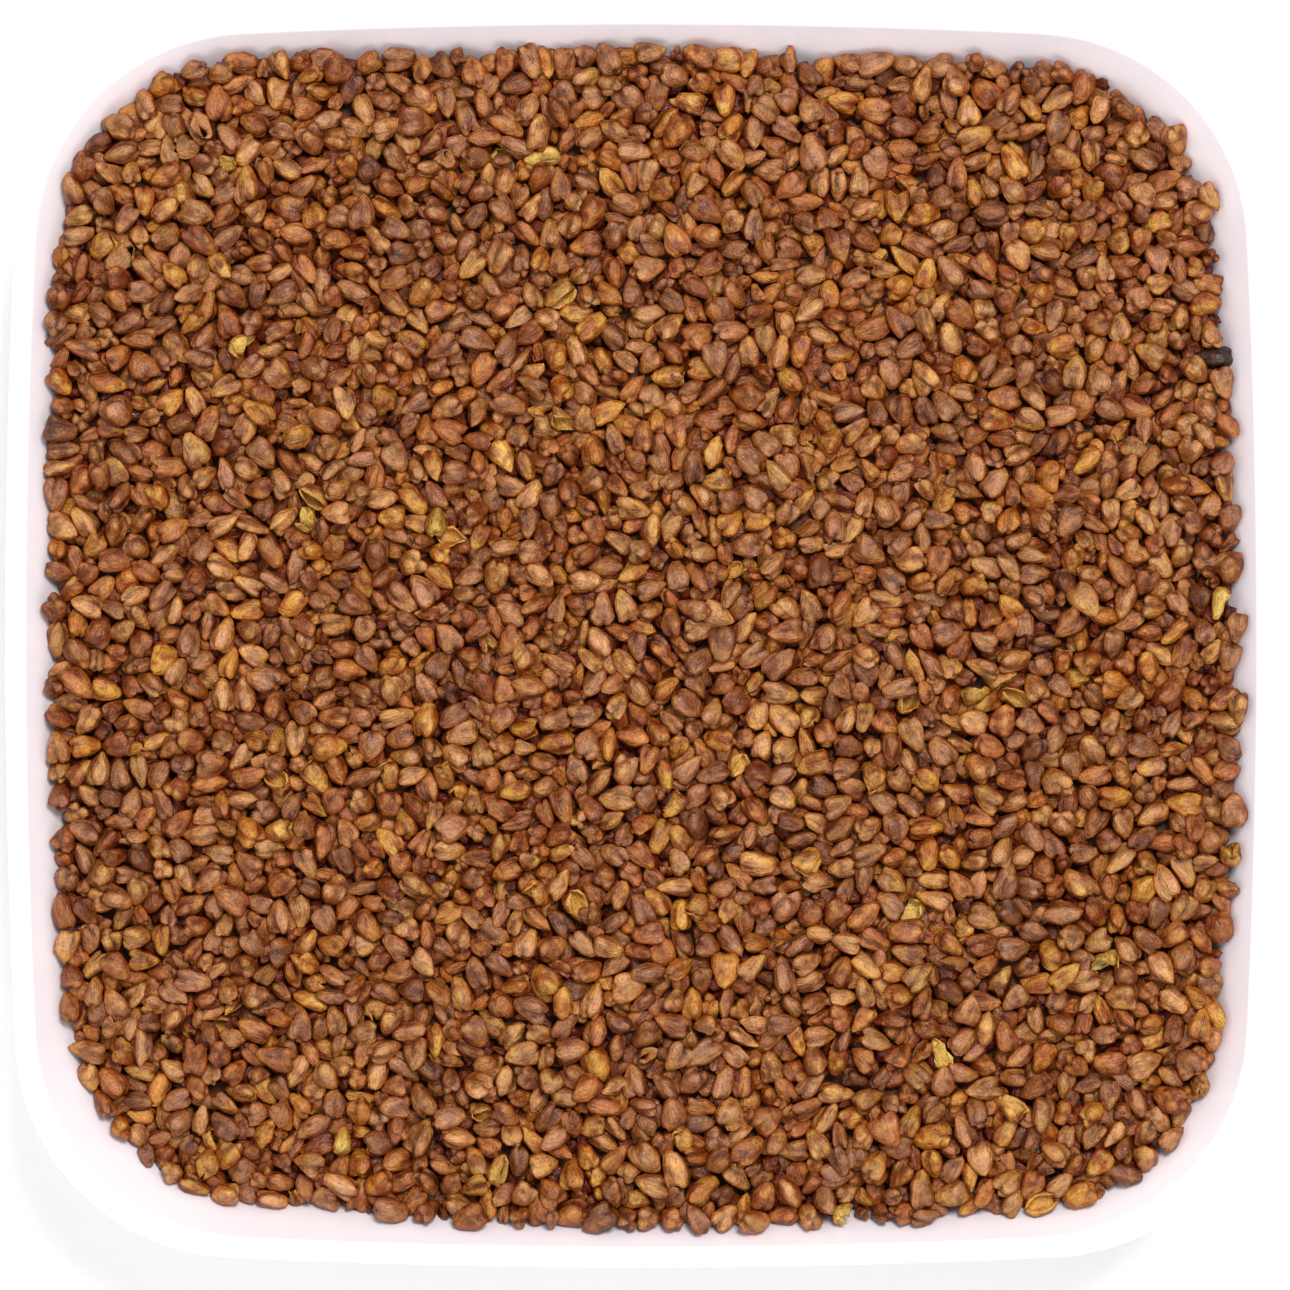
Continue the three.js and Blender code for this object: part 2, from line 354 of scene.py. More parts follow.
def heap_level():
    """The CAD heap's top with its lumps smoothed away, as a function of X and Y, in metres."""
    mesh = frame["nodes"]["buckwheat"].data
    points = [vertex.co for vertex in mesh.vertices]
    top = BVHTree.FromPolygons(points, [tuple(face.vertices) for face in mesh.polygons])
    count = 2 * math.ceil(HALF_WIDTH / LEVEL_STEP) + 1
    line = (np.arange(count) - count // 2) * LEVEL_STEP
    height = np.full((count, count), np.nan)
    for (row, x), (column, y) in itertools.product(enumerate(line), repeat=2):
        hit = top.ray_cast((x, y, 1), (0, 0, -1))[0]
        if hit:
            height[row, column] = hit.z
    for _ in range(WIDEN_ROUNDS):  # out past the wall
        near = near_readings(height, constant_values=np.nan)
        widened = np.nan_to_num(near).sum(0) / np.maximum((~np.isnan(near)).sum(0), 1)
        height = np.where(np.isnan(height), np.where(widened == 0, np.nan, widened), height)
    height = np.where(np.isnan(height), np.nanmin(height), height)
    for _ in range(SMOOTH_ROUNDS):
        height = near_readings(height, mode="edge").mean(0)

    def level(x, y):
        u = np.clip(x / LEVEL_STEP + count // 2, 0, count - 1.001)
        v = np.clip(y / LEVEL_STEP + count // 2, 0, count - 1.001)
        i, j = u.astype(int), v.astype(int)
        u, v = u - i, v - j
        return ((height[i, j] * (1 - u) + height[i + 1, j] * u) * (1 - v)
                + (height[i, j + 1] * (1 - u) + height[i + 1, j + 1] * u) * v)

    return level


def relief_tree():
    """Raises kernel backs on every face that looks up."""
    tree, given, out = new_tree("kernel backs", Float=["Spacing", "Rise"])
    _, minus, times, over = sums(tree)
    cells = place(tree, "ShaderNodeTexVoronoi", {"Scale": over(1.0, given["Spacing"])}, feature="SMOOTH_F1")
    normal = place(tree, "GeometryNodeInputNormal").outputs[0]
    up = calc(tree, "GREATER_THAN", place(tree, "ShaderNodeSeparateXYZ", {0: normal}).outputs["Z"], LOOKS_UP)
    rise = times(times(minus(0.6, cells.outputs["Distance"]), given["Rise"]), up)
    offset = place(tree, "ShaderNodeCombineXYZ", {"Z": rise})
    raised = place(tree, "GeometryNodeSetPosition", {
        "Geometry": given["Geometry"], "Offset": offset.outputs[0]})
    finish_tree(tree, raised.outputs[0], given["Material"], out)
    return tree


def shaded_bed():
    material, tree, shader = new_material("kernels in deep shade")
    patches = noise(tree, place(tree, "ShaderNodeTexCoord").outputs["Object"], BED_PATCHES, 2.0)
    feed(tree, shader, {
        "Base Color": blend(tree, patches, BED_PAINTED_SHADE_BROWN, BED_PALE_PAINTED_SHADE_BROWN), "Roughness": 0.7,
        "Normal": relief(tree, patches, 0.5, 0.3 * MM)})
    return material


def bed_section():
    edge = HALF_WIDTH - RIM_WIDTH - (DISH_HEIGHT - BED_EDGE) * math.tan(WALL_LEAN) - BED_CLEARANCE
    return np.concatenate([
        flat(0, FILLET_CENTRE[0], BED_FLOOR_STEPS, FLOOR_TOP + BED_CLEARANCE)[:-1],
        arc(FILLET_CENTRE, FLOOR_FILLET - BED_CLEARANCE, -QUARTER, -WALL_LEAN, BED_FILLET_STEPS),
        flat(edge, 0, BED_RINGS - 1, BED_EDGE)])


level = heap_level()
shade = shaded_bed()
bed = mould("packed_kernels", bed_section(), BED_FACETS, shade)
for vertex in bed.data.vertices:
    if vertex.co.z > BED_EDGE - 0.1 * MM:
        vertex.co.z = float(level(np.array(vertex.co.x), np.array(vertex.co.y))) - BED_DEPTH
run_tree(bed, relief_tree(), {"Spacing": BACK_SPACING, "Rise": BACK_RISE, "Material": shade})
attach(bed, "root")
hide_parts("buckwheat")


# ---- pouring the kernels ----
# Buckwheat is poured into a dish and settles by itself, so the loose kernels on top are poured here too.
# Each is a rigid teardrop of three balls. They sink, are pushed apart and lie down.

POUR_SEED = 11
POUR_LAYERS = 3
POUR_SPACING = 3.3 * MM
POUR_STIR = np.array([0.9, 0.9, 0.6])  # millimetres that a kernel may start from its place in the layer
POUR_MARGIN = 2.2 * MM  # from the wall
START_HEIGHT = 1.5 * MM  # over the bed
TIP_SPREAD = np.array([1, 1, 0.75])  # tips point up or down less than sideways
SMALL_SHARE, SMALL_LENGTHS = 0.14, (0.5, 0.8)
SLENDER_SHARE, SLENDER_GIRTH = 0.12, 0.85
POUR_STEPS, PUSHES_A_STEP, STEPS_A_SEARCH = 150, 2, 4
FAST_STEPS, SINK_FAST, SINK_SLOW = 90, 0.09 * MM, 0.04 * MM  # for each step
BALL_PLACES = np.array([-0.72, 0.26, 1.26]) * MM  # along the kernel, from its blunt end to its tip
BALL_RADII = np.array([1.30, 1.14, 0.68]) * MM
SPIN_RESISTANCE = 1.75 * MM * MM  # inertia for each unit of mass
PUSH, PUSH_FADE = 1.3, 0.7  # the more a kernel touches, the less each touch moves it
SEARCH_CELL, SEARCH_MARGIN = 3.3 * MM, 0.5 * MM
RIM_TUBE = 1.35 * MM
RIM_BELOW, OPEN_ABOVE = 1 * MM, 2 * MM  # from the brim: where the rim's round starts, and the wall ends
HAND_STEP = 75  # after this step the heap is patted flat
HAND_ABOVE = 1.2 * MM  # how far over the level a kernel may then stand
HIGHEST = DISH_HEIGHT + 1.05 * MM
PIXEL, SIGHT_MARGIN = 0.3 * MM, 3 * MM
SIDE_VIEWS, SIDE_VIEW_RISE = np.radians(np.arange(0, 360, 60)), 0.8
LEAST_SEEN = 14  # pixels, in all views together, or the kernel is left out


def wall_distance(x, y, half):
    """How far a point is inside the outline that has this half width, and the way inwards."""
    y = y * DISH_WIDTH / DISH_DEPTH
    bow = SIDE_BOW * half / HALF_WIDTH
    corner = CORNER_RADIUS - CORNER_SHRINK * (HALF_WIDTH - half)
    bow_centre = bow - half
    corner_centre = (np.sqrt(2 * (bow - corner) ** 2 - bow_centre ** 2) - bow_centre) / 2
    swapped = np.abs(y) > np.abs(x)
    first, second = np.where(swapped, np.abs(y), np.abs(x)), np.where(swapped, np.abs(x), np.abs(y))
    joint = np.arctan2(corner_centre, corner_centre + bow_centre)
    on_side = np.arctan2(second, first + bow_centre) < joint
    first = np.where(on_side, first + bow_centre, first - corner_centre)
    second = np.where(on_side, second, second - corner_centre)
    reach = np.maximum(np.hypot(first, second), 1e-9)
    first, second = -first / reach, -second / reach
    in_x, in_y = np.where(swapped, second, first), np.where(swapped, first, second)
    inside = np.where(on_side, bow, corner) - reach
    return inside, np.where(x < 0, -in_x, in_x), np.where(y < 0, -in_y, in_y)


def near_pairs(balls, radii, owner):
    """Pairs of balls of different kernels that touch, or nearly do."""
    box = np.floor((balls - balls.min(0)) / SEARCH_CELL).astype(np.int64) + 1
    size = box.max(0) + 2
    key = (box[:, 0] * size[1] + box[:, 1]) * size[2] + box[:, 2]
    order = np.argsort(key, kind="stable")
    key = key[order]
    found = []
    for i, j, k in itertools.product((-1, 0, 1), repeat=3):
        step = (i * size[1] + j) * size[2] + k
        if step >= 0:
            start = np.searchsorted(key, key + step, "left")
            count = np.searchsorted(key, key + step, "right") - start
            one = np.repeat(np.arange(len(key)), count)
            before = np.concatenate([[0], np.cumsum(count)[:-1]])
            other = np.arange(len(one)) + np.repeat(start - before, count)
            keep = (other > one) | (step > 0)
            found.append(np.stack([order[one[keep]], order[other[keep]]]))
    one, other = np.concatenate(found, axis=1)
    apart = balls[one] - balls[other]
    near = (apart ** 2).sum(1) < (radii[one] + radii[other] + SEARCH_MARGIN) ** 2
    keep = (owner[one] != owner[other]) & near
    return one[keep], other[keep]


def held_back(balls, radii, patted):
    """Which balls reach into the wall, the bed or the flat hand, how deep, and the way out."""
    x, y, z = balls.T
    lean = np.array([math.cos(WALL_LEAN), math.sin(WALL_LEAN)])
    below = DISH_HEIGHT - np.minimum(z, DISH_HEIGHT + OPEN_ABOVE)
    wall, in_x, in_y = wall_distance(x, y, HALF_WIDTH - RIM_WIDTH - below * math.tan(WALL_LEAN))
    wall_way = np.stack([in_x * lean[0], in_y * lean[0], np.full_like(x, lean[1])], 1)
    rim, rim_x, rim_y = wall_distance(x, y, HALF_WIDTH - RIM_WIDTH / 2)
    over = z - (DISH_HEIGHT - RIM_TUBE)
    from_rim = np.hypot(rim, over) + 1e-12
    rim_way = np.stack([rim_x * rim, rim_y * rim, over], 1) / from_rim[:, None]
    at_rim = z > DISH_HEIGHT - RIM_BELOW
    wall_depth = np.where(at_rim, RIM_TUBE + radii - from_rim, radii - wall * lean[0])
    wall_way = np.where(at_rim[:, None], rim_way, wall_way)
    surface = level(x, y)
    bed_depth = surface - BED_DEPTH + radii - z
    hand_depth = z + radii - surface - HAND_ABOVE if patted else np.full_like(z, -1)
    depth = np.concatenate([wall_depth, bed_depth, hand_depth])
    up = np.tile([0.0, 0.0, 1.0], (len(z), 1))
    way = np.concatenate([wall_way, up, -up])
    held = np.flatnonzero(depth > 0)
    return held % len(z), depth[held], way[held]


def vary(rng, count, usual, wander, least, most):
    """Values round a usual one, none under the least or over the most."""
    return np.clip(rng.normal(usual, wander, count), least, most)


def pour(rng):
    """Settled kernels: their centres, the way their tips point, lengths and girths."""
    half = HALF_WIDTH - RIM_WIDTH
    line = np.arange(-half, half, POUR_SPACING)
    grid = np.array([(x, y, layer) for layer in range(POUR_LAYERS) for x in line for y in line])
    grid[:, :2] += (grid[:, 2:] % 2) * POUR_SPACING / 2
    grid = grid[wall_distance(grid[:, 0], grid[:, 1], half - POUR_MARGIN)[0] > 0]
    count = len(grid)
    centre = grid * np.array([1, 1, POUR_SPACING])
    centre += rng.uniform(-1, 1, (count, 3)) * POUR_STIR * MM
    centre[:, 2] += level(centre[:, 0], centre[:, 1]) - BED_DEPTH + START_HEIGHT
    tip = rng.normal(size=(count, 3)) * TIP_SPREAD
    tip /= np.linalg.norm(tip, axis=1)[:, None]
    length = vary(rng, count, usual=0.99, wander=0.08, least=0.78, most=1.13)
    small = rng.random(count) < SMALL_SHARE
    length[small] = rng.uniform(*SMALL_LENGTHS, small.sum())
    girth = vary(rng, count, usual=1, wander=0.07, least=0.8, most=1.15)
    slender = rng.random(count) < SLENDER_SHARE
    girth[slender] *= SLENDER_GIRTH

    owner = np.repeat(np.arange(count), 3)
    along = (BALL_PLACES * length[:, None]).ravel()
    radii = (BALL_RADII * (length * girth)[:, None]).ravel()
    inertia = SPIN_RESISTANCE * length ** 2
    pairs = None
    for step in range(POUR_STEPS):
        centre[:, 2] -= SINK_FAST if step < FAST_STEPS else SINK_SLOW
        for turn in range(PUSHES_A_STEP):
            balls = np.repeat(centre, 3, 0) + along[:, None] * np.repeat(tip, 3, 0)
            if step % STEPS_A_SEARCH == 0 and turn == 0:
                pairs = near_pairs(balls, radii, owner)
            one, other = pairs
            apart = balls[one] - balls[other]
            gap = np.sqrt((apart ** 2).sum(1)) + 1e-12
            depth = radii[one] + radii[other] - gap
            touch = depth > 0
            one, other, depth = one[touch], other[touch], depth[touch]
            away = apart[touch] / gap[touch, None]
            held, held_depth, held_way = held_back(balls, radii, step > HAND_STEP)

            ball = np.concatenate([one, other, held])
            way = np.concatenate([away, -away, held_way])
            body = owner[ball]
            lever = along[ball, None] * (way - (way * tip[body]).sum(1)[:, None] * tip[body])
            give = 1 + (lever ** 2).sum(1) / inertia[body]
            met = len(one)
            shared = depth / (give[:met] + give[met:2 * met])
            push = np.concatenate([shared, shared, held_depth / give[2 * met:]])
            touches = np.bincount(body, minlength=count)
            weight = PUSH / np.maximum(touches, 1) ** PUSH_FADE
            for axis in range(3):
                centre[:, axis] += weight * np.bincount(body, push * way[:, axis], count)
                turned = push * lever[:, axis] / inertia[body]
                tip[:, axis] += weight * np.bincount(body, turned, count)
            tip /= np.linalg.norm(tip, axis=1)[:, None]
    return centre, tip, length, girth


def seen_area(centre, tip, length, girth, sight):
    """How much of each kernel shows from far off along sight, in pixels."""
    sight = np.array(sight) / np.linalg.norm(sight)
    right = np.cross([0, 1, 0], sight)
    right /= np.linalg.norm(right)
    up = np.cross(sight, right)
    balls = centre[:, None] + (BALL_PLACES * length[:, None])[:, :, None] * tip[:, None]
    radii = (BALL_RADII * (length * girth)[:, None]).ravel()
    balls = balls.reshape(-1, 3)
    seen_at = np.stack([balls @ right, balls @ up], 1)
    low = seen_at.min(0) - SIGHT_MARGIN
    wide = int((seen_at[:, 0].max() - low[0] + SIGHT_MARGIN) / PIXEL)
    reach = int(radii.max() / PIXEL) + 1
    i, j = np.mgrid[-reach:reach + 1, -reach:reach + 1]
    middle = np.round((seen_at - low) / PIXEL).astype(int)
    column, row = middle[:, :1] + i.ravel(), middle[:, 1:] + j.ravel()
    off = (column * PIXEL + low[0] - seen_at[:, :1]) ** 2 + (row * PIXEL + low[1] - seen_at[:, 1:]) ** 2
    inside = off < radii[:, None] ** 2
    near = (balls @ sight)[:, None] + np.sqrt(np.maximum(radii[:, None] ** 2 - off, 0))
    owner = np.nonzero(inside)[0] // 3
    spot = (row * wide + column)[inside]
    order = np.argsort(near[inside], kind="stable")
    front = np.full(spot.max() + 1, -1)
    front[spot[order]] = owner[order]
    return np.bincount(front[front >= 0], minlength=len(centre))


centre, tip, length, girth = pour(np.random.default_rng(POUR_SEED))
tops = centre[:, 2:] + (BALL_PLACES * tip[:, 2:] + BALL_RADII * girth[:, None]) * length[:, None]
centre[:, 2] -= np.maximum(tops.max(1) - HIGHEST, 0)
from_above = seen_area(centre, tip, length, girth, (0, 0, 1))
seen = from_above.copy()
for compass in SIDE_VIEWS:
    seen += seen_area(centre, tip, length, girth, (math.cos(compass), math.sin(compass), SIDE_VIEW_RISE))
kept = seen > LEAST_SEEN


# ---- kernel shapes ----
# A hulled kernel is a teardrop of three rounded lobes with furrows between them, blunt at one end and
# pointed at the other. Roasting wrinkles it, splits some along a furrow with the edges rolled out, and
# others break in two.

SHAPE_SEED = 23
KERNEL_LENGTH, KERNEL_WIDTH = 3.85 * MM, 3.04 * MM
SKIN_THICKNESS, HUSK_THICKNESS = 0.34 * MM, 0.16 * MM
BLUNT_START = 0.45  # where the blunt end closes, as a share of the length under the middle
BLUNT_SQUARE, BLUNT_ROUND = 2.8, 0.45
KNOB_SIZE, KNOB_RISE = 2.1, 0.4  # how far each lobe bulges back over the blunt end
DENTS, DENT_WAVES = 5, 2300  # radians to the metre
THIRD = 2 * math.pi / 3
POLE = 0.0005  # the share of the length at which an open skin ends short of a point
ROLLED_SHARE = 0.3  # how much of each half of an open skin rolls outwards
BREAK_INSET, BREAK_DEPTH = 0.12 * MM, 0.05 * MM
LEFT_AT, RIGHT_AT, LOW_AT, HIGH_AT = 0.97, 0.98, 0.96, 0.98  # where a skin's edges unwrap


def teardrop(around_share, height_share, form):
    """A point of a kernel from its place round and along it, with its furrow depth there."""
    turn = 2 * math.pi * around_share
    if height_share < form["widest"]:
        reach = (1 - (1 - height_share / form["widest"]) ** BLUNT_SQUARE) ** BLUNT_ROUND
    else:
        past = (height_share - form["widest"]) / (1 - form["widest"])
        reach = (1 - past ** form["taper"]) ** form["tip"]
    third = round(turn / THIRD)
    off = abs(turn - third * THIRD)
    apart = form["lobes"][third % 3] * max(0.0, 1 - height_share) ** form["fade"]
    inner = (1 - apart) ** 2 - (apart * math.sin(off)) ** 2
    section = apart * math.cos(off) + math.sqrt(max(inner, 0.0))
    lobe = 0.5 + 0.5 * math.cos(3 * turn)
    turn += form["twist"] * (height_share - 0.5)
    reach *= section * (form["sizes"][third % 3] * lobe + 1 - lobe) * (1 + form["keel"] * (lobe - 0.5))
    knob = KNOB_SIZE * height_share ** KNOB_RISE * (1 - height_share) ** 2
    bend = form["bend"] * KERNEL_LENGTH * (height_share - 0.5) ** 2
    point = np.array([
        KERNEL_WIDTH / 2 * reach * math.cos(turn) + bend,
        KERNEL_WIDTH / 2 * reach * math.sin(turn) * form["flat"],
        KERNEL_LENGTH * (height_share - 0.5 - form["notch"] * lobe * knob)])
    for wave, phase, size in form["dents"]:
        point = point * (1 + size * math.sin(float(wave @ point) + phase))
    return point, 1 - section


def kernel_form(rng):
    """What makes one kernel unlike the next."""
    return {
        "twist": rng.normal(0, 0.3), "widest": rng.uniform(0.24, 0.42), "taper": rng.uniform(1.4, 2.3),
        "tip": rng.uniform(0.58, 0.92),
        "lobes": np.clip(rng.uniform(0.38, 0.60) + rng.normal(0, 0.04, 3), 0.3, 0.58),
        "sizes": rng.uniform(0.80, 1.10, 3), "fade": rng.uniform(0.3, 1.1), "keel": rng.uniform(-0.04, 0.06),
        "flat": rng.uniform(0.86, 1.0), "notch": rng.uniform(0.08, 0.18), "bend": rng.normal(0, 0.13),
        "dents": [(rng.normal(0, DENT_WAVES, 3) * np.array([1, 1, 0.45]), rng.uniform(0, 6.3),
                   rng.uniform(0.02, 0.06)) for _ in range(DENTS)]}


def tell(mesh, label, values):
    """Keeps a number or a vector for each point of a mesh."""
    values = np.asarray(values)
    kind = "FLOAT_VECTOR" if values.ndim == 2 else "INT" if values.dtype.kind == "i" else "FLOAT"
    layer = mesh.attributes.new(label, kind, "POINT")
    values = np.ascontiguousarray(values, np.int32 if kind == "INT" else np.float32)
    layer.data.foreach_set("vector" if values.ndim == 2 else "value", values.ravel())


def shape_object(name, group, knots, faces):
    """Keeps a kernel shape out of the scene. A knot is a point, how far along it lies, its furrow depth and
    how much of it is lining, and each face has the unwrapped places of its corners."""
    points, along, furrow, lining = zip(*knots)
    mesh = bpy.data.meshes.new(name)
    mesh.from_pydata([tuple(point) for point in points], [], list(faces))
    unwrap = mesh.uv_layers.new(name="unwrap")
    for loop, corner in zip(unwrap.data, itertools.chain(*faces.values())):
        loop.uv = corner
    tell(mesh, "kernel_place", np.array(points) / MM)
    tell(mesh, "along", along)
    tell(mesh, "furrow", furrow)
    tell(mesh, "lining", lining)
    group.objects.link(bpy.data.objects.new(name, mesh))


def whole_kernel(name, group, rng, rows, around):
    form = kernel_form(rng)
    shares = [((row + 0.55) / (rows + 0.1)) ** 1.7 for row in range(rows)]  # closer at the blunt end
    knots = [(np.array([0, 0, -BLUNT_START * KERNEL_LENGTH]), 0.0, 0.3, 0.0)]
    for share in shares:
        for column in range(around):
            point, depth = teardrop((column + 0.5) / around, share, form)  # a column lies in each furrow
            knots.append((point, share, depth, 0.0))
    knots.append((teardrop(0, 1, form)[0], 1.0, 0.0, 0.0))
    faces = {}
    for column in range(around):
        after = (column + 1) % around
        u, v = column / around, (column + 1) / around
        middle = 0.5 * (u + v)
        faces[0, 1 + after, 1 + column] = ((middle, 0), (v, shares[0]), (u, shares[0]))
        for row in range(rows - 1):
            low, high = 1 + row * around, 1 + (row + 1) * around
            here, there = shares[row], shares[row + 1]
            faces[low + column, low + after, high + after, high + column] = (
                (u, here), (v, here), (v, there), (u, there))
        top = 1 + (rows - 1) * around
        faces[top + column, top + after, len(knots) - 1] = ((u, shares[-1]), (v, shares[-1]), (middle, 1))
    shape_object(name, group, knots, faces)


def open_kernel(name, group, rng, rows, across, skin, least_open, most_open):
    """A kernel open along one furrow: a skin whose free edges roll outwards round a hollow."""
    form = kernel_form(rng)
    form["lobes"] = form["lobes"] * 0.6
    opening = rng.uniform(least_open, most_open)  # the share of the way round that is open
    roll = rng.uniform(0.12, 0.3)
    knots = []
    for side in range(2):  # outside, then inside
        for row in range(rows):
            share = POLE + (1 - 3 * POLE) * (0.5 - 0.5 * math.cos(math.pi * row / (rows - 1)))
            swing = math.sin(math.pi * share)
            gape = opening * swing ** 0.7
            for column in range(across):
                part = column / (across - 1)
                point, depth = teardrop(0.5 * gape + part * (1 - gape), share, form)
                edge = max(0.0, abs(part - 0.5) * 2 - 1 + ROLLED_SHARE) / ROLLED_SHARE
                inner = 1 - side * skin / (KERNEL_WIDTH / 2) * (1.3 - 0.6 * edge)
                swell = (1 + roll * edge * swing) * inner
                point = point * np.array([swell, swell, 1 - side * 0.08])
                knots.append((point, share, depth, max(float(side), edge)))
    faces = {}
    count = rows * across

    def face(u, v, wide, tall, *corners):
        faces[corners] = ((u, v), (u + wide, v), (u + wide, v + tall), (u, v + tall))

    tall, thin = 1 / rows, 0.01
    for row in range(rows - 1):
        v = row * tall
        for column in range(across - 1):
            here = row * across + column
            back = here + count
            u, wide = 0.5 * column / across, 0.5 / across
            face(u, v, wide, tall, here, here + 1, here + across + 1, here + across)
            face(u + 0.5, v, wide, tall, back + 1, back, back + across, back + across + 1)
        left, right = row * across, row * across + across - 1
        face(LEFT_AT, v, thin, tall, left + count, left, left + across, left + across + count)
        face(RIGHT_AT, v, thin, tall, right, right + count, right + across + count, right + across)
    for column in range(across - 1):
        low, high = column, (rows - 1) * across + column
        u, wide = column / across, 1 / across
        face(u, LOW_AT, wide, thin, low + count, low + count + 1, low + 1, low)
        face(u, HIGH_AT, wide, thin, high, high + 1, high + count + 1, high + count)
    shape_object(name, group, knots, faces)


def broken_kernel(name, group, rng, rows, around):
    """A whole kernel cut by a slanting plane, with the mealy inside showing in the break."""
    whole_kernel(name, group, rng, rows, around)
    mesh = group.objects[name].data
    cut = bmesh.new()
    cut.from_mesh(mesh)
    tilt = rng.normal(size=3) * np.array([1, 1, 0.8])
    tilt /= np.linalg.norm(tilt)
    spot = tilt * rng.uniform(0.15, 0.5) * KERNEL_WIDTH / 2
    made = bmesh.ops.bisect_plane(cut, geom=cut.verts[:] + cut.edges[:] + cut.faces[:], plane_co=spot,
                                  plane_no=tilt, clear_outer=True, dist=1e-6)
    rim = [part for part in made["geom_cut"] if isinstance(part, bmesh.types.BMEdge)]
    breaks = bmesh.ops.holes_fill(cut, edges=rim, sides=0)["faces"]
    for edge in rim:
        edge.smooth = False
    sunk = bmesh.ops.inset_region(cut, faces=breaks, thickness=BREAK_INSET, depth=-BREAK_DEPTH)["faces"]
    lining = cut.verts.layers.float["lining"]
    place_on = cut.verts.layers.float_vector["kernel_place"]
    unwrap = cut.loops.layers.uv["unwrap"]
    for face in breaks:
        for vertex in face.verts:
            vertex[lining] = 1.0
    for face in list(breaks) + list(sunk):
        for corner in face.loops:
            spot = corner.vert.co
            corner.vert[place_on] = spot / MM
            corner[unwrap].uv = (0.5 + spot.x / KERNEL_LENGTH * 0.9, 0.5 + spot.z / KERNEL_LENGTH * 0.9)
    bmesh.ops.triangulate(cut, faces=[face for face in cut.faces if len(face.verts) > 4])
    cut.to_mesh(mesh)
    cut.free()


def make_shapes(name, maker, rng, count, **sizes):
    group = bpy.data.collections.new(name)
    for number in range(count):
        maker(f"{name}_{number:02d}", group, rng, **sizes)
    return group


rng = np.random.default_rng(SHAPE_SEED)
whole_shapes = make_shapes("whole", whole_kernel, rng, count=24, rows=7, around=15)
deep_shapes = make_shapes("deep", whole_kernel, rng, count=5, rows=4, around=9)
split_shapes = make_shapes("split", open_kernel, rng, count=8, rows=7, across=10, skin=SKIN_THICKNESS,
                           least_open=0.2, most_open=0.34)
husk_shapes = make_shapes("husk", open_kernel, rng, count=4, rows=7, across=8, skin=HUSK_THICKNESS,
                          least_open=0.5, most_open=0.62)
broken_shapes = make_shapes("broken", broken_kernel, rng, count=8, rows=6, around=15)


# ---- roasted skin ----
# Roasting leaves the thin seed coat in patches of mauve brown and tan, paler on the lobes, and toasted gold
# where it has rubbed or blistered, with fine wrinkles running from end to end and a faint oily shine. The
# furrows take the darker colour as painted shade, and faces that look sideways or down and kernels sunk low
# in the heap are painted darker and redder as painted shade.

OWN_SHIFT = (173.0, 91.0, 227.0)  # how far apart in the textures the kernels lie
FAR_SHIFT = (31.0, 17.0, 53.0)  # between two textures of one kernel
STRETCH = (1.0, 1.0, 0.25)  # wrinkles run along the kernel
PATCHES, SPECKS, STREAKS, FOLDS = 0.7, 2.8, 3.2, 0.9  # to the millimetre
PAINTED_SHADE_TINT = (0.80, 0.42, 0.10, 1)  # painted shade: the reddish light that comes back from between kernels
SKIN_DEPTH = 0.26 * MM


def vector(tree, operation, first, second):
    """The result of a Vector Math node. The second value is a number for SCALE, and else a vector."""
    return place(tree, "ShaderNodeVectorMath", {0: first, "Scale" if operation == "SCALE" else 1: second},
                 operation=operation).outputs[0]


